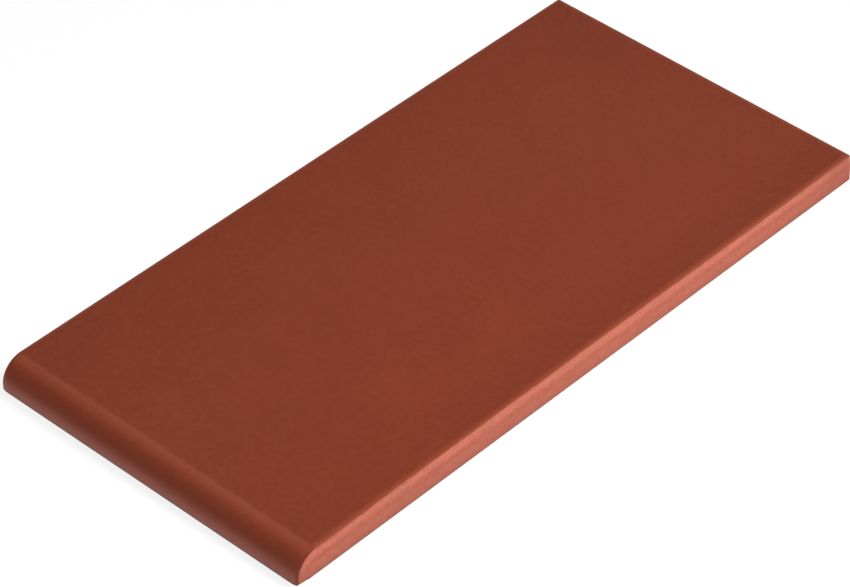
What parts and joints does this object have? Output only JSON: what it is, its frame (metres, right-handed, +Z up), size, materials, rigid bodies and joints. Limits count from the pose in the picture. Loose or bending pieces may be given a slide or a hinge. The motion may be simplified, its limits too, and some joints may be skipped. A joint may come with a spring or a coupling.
{
  "type": "window sill tile",
  "caption": "Flat fired clay window sill tile with a quarter-round nose on one short edge, drafted side faces and a keyed bedding face.",
  "frame": {"origin": "middle of the bedding face, at the level that the tile rests on", "axes": "+Z up out of the top face, +X along the length from the rounded nose to the back edge, Y across the width along the wall"},
  "size_m": [0.3, 0.148, 0.0125],
  "materials": {
    "fired_clay": "satin, smooth red-brown fired face, with lighter salmon side faces"
  },
  "bodies": {
    "root": {"sill_tile": "fired_clay"}
  },
  "joints": []
}
